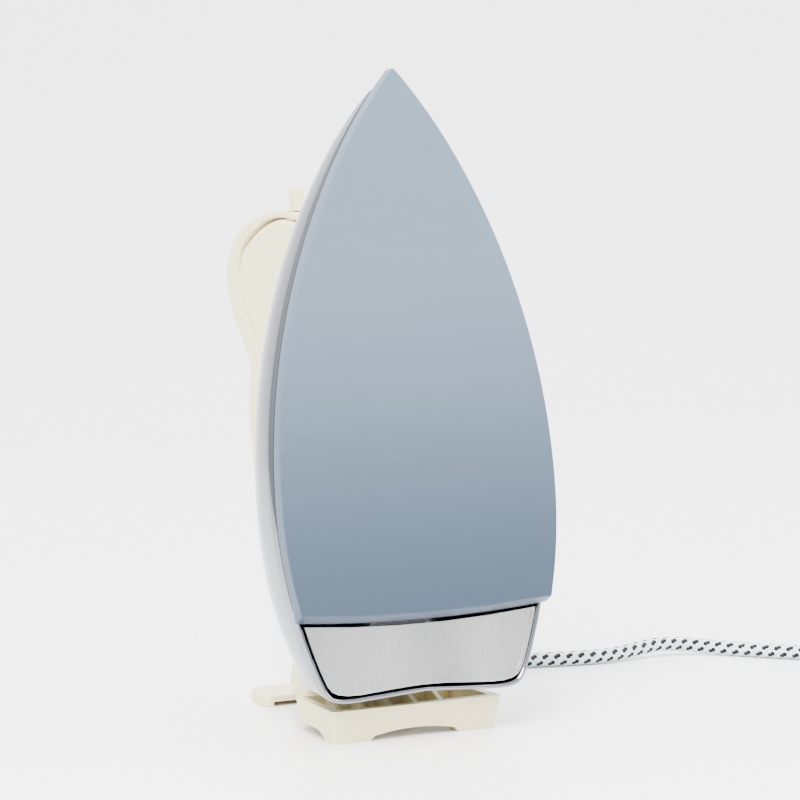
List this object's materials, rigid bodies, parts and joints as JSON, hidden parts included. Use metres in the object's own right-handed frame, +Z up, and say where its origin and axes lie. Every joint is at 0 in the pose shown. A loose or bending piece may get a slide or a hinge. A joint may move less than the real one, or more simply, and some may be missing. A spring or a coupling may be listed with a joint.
{
  "type": "electric dry iron",
  "caption": "Heavy electric dry iron standing on its heel, chrome cover over a blue-grey soleplate, cream handle with a heat selector lever, braided mains lead with plug.",
  "frame": {"origin": "middle of the iron's footprint on the surface it stands on, measured without the lead", "axes": "+Z up towards the nose of the standing iron, -Y the way the soleplate faces, +X across the iron to the side where the lead lies"},
  "size_m": [0.4226, 0.1508, 0.2501],
  "materials": {
    "satin_sole": "satin blue-grey coated face, faint brush lines",
    "chrome": "bright",
    "brushed_steel": "brushed along its height",
    "cream_plastic": "satin cream",
    "zinc": "zinc plated",
    "sheath": "heat-darkened sheath",
    "cast_iron": "bare casting",
    "mica": "mica sheet",
    "brass": "plain",
    "ceramic": "steatite",
    "wire_sleeve": "glass sleeve on the cores",
    "guard_rubber": "soft cream",
    "plug_plastic": "satin cream",
    "braid": "white cotton braid with black flecks"
  },
  "bodies": {
    "iron": {"soleplate": "satin_sole", "chrome_cover": "chrome", "rear_plate": "brushed_steel", "handle_body": "cream_plastic", "handle_top_strip": "cream_plastic", "heating_element": "sheath", "weight_plate": "cast_iron", "weight_plate_screw_left": "zinc", "weight_plate_screw_right": "zinc", "heat_shield": "mica", "thermostat_base": "zinc", "bimetal_strip": "brass", "thermostat_stack": "ceramic", "lower_contact_arm": "brass", "upper_contact_arm": "brass", "lower_contact": "zinc", "upper_contact": "zinc", "adjusting_screw": "brass", "spindle_bushing": "brass", "front_handle_stud": "zinc", "rear_handle_stud": "zinc", "rear_bracket": "zinc", "terminal_block": "ceramic", "live_terminal_screw": "brass", "earth_terminal_screw": "brass", "neutral_terminal_screw": "brass", "live_wire": "wire_sleeve", "earth_wire": "wire_sleeve", "neutral_wire": "wire_sleeve", "cord_clamp": "zinc", "heel_block": "cream_plastic", "heel_screw_left": "zinc", "heel_screw_right": "zinc", "rear_plinth": "cream_plastic", "rear_foot": "cream_plastic", "rear_foot_screw": "zinc", "cord_guard": "guard_rubber", "mains_cord": "braid", "cord_coil": "braid", "cord_tail": "braid", "plug_boot": "guard_rubber", "plug_body": "plug_plastic", "plug_pin_left": "brass", "plug_pin_right": "brass"},
    "heat_selector": {"heat_selector_lever": "cream_plastic", "selector_spindle": "zinc"}
  },
  "joints": [
    {"name": "heat_selector_turn", "type": "hinge", "parent": "iron", "child": "heat_selector", "pos_m": [0, 0.01415, 0.17716], "axis": [0, 0.9898, -0.1426], "range_deg": [0, 42]}
  ]
}
